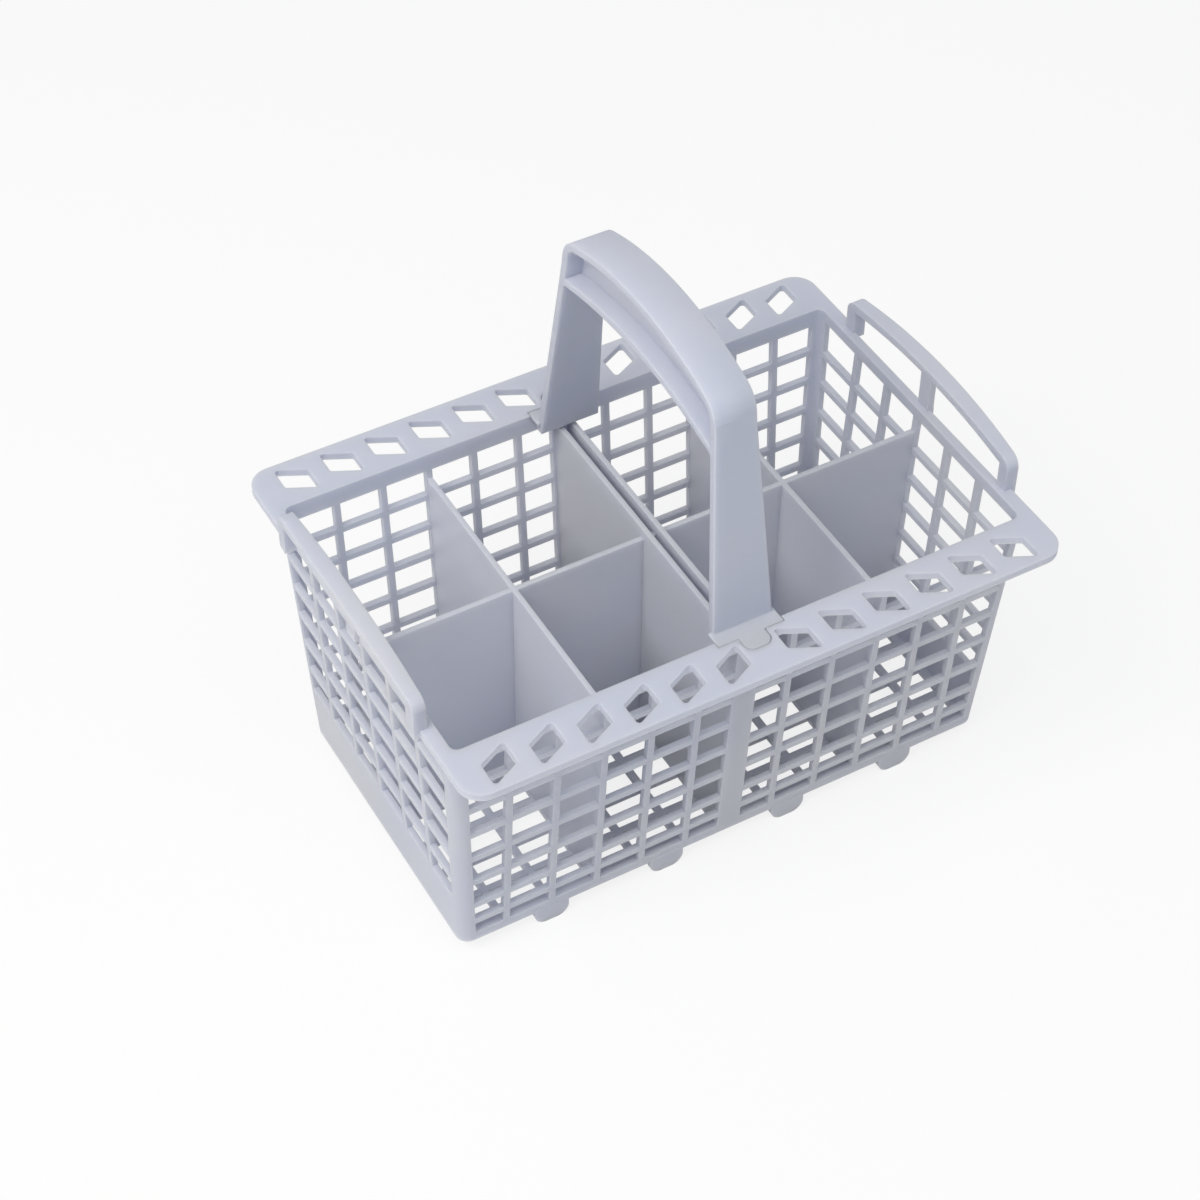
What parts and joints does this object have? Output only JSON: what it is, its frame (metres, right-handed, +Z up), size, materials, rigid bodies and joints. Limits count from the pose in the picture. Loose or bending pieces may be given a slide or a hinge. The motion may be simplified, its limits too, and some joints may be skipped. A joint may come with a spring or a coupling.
{
  "type": "dishwasher cutlery basket",
  "caption": "Lattice plastic cutlery basket with divided compartments, drain holes along its rim flanges, arched end hoops and a tall carrying handle.",
  "frame": {"origin": "centre of the basket on plan, at the level the feet stand on", "axes": "+X along the long side, +Y across the basket under the handle, +Z up"},
  "size_m": [0.2476, 0.176, 0.222],
  "materials": {
    "basket_plastic": "satin",
    "handle_plastic": "satin"
  },
  "bodies": {
    "root": {"basket_body": "basket_plastic", "carrying_handle": "handle_plastic"}
  },
  "joints": []
}
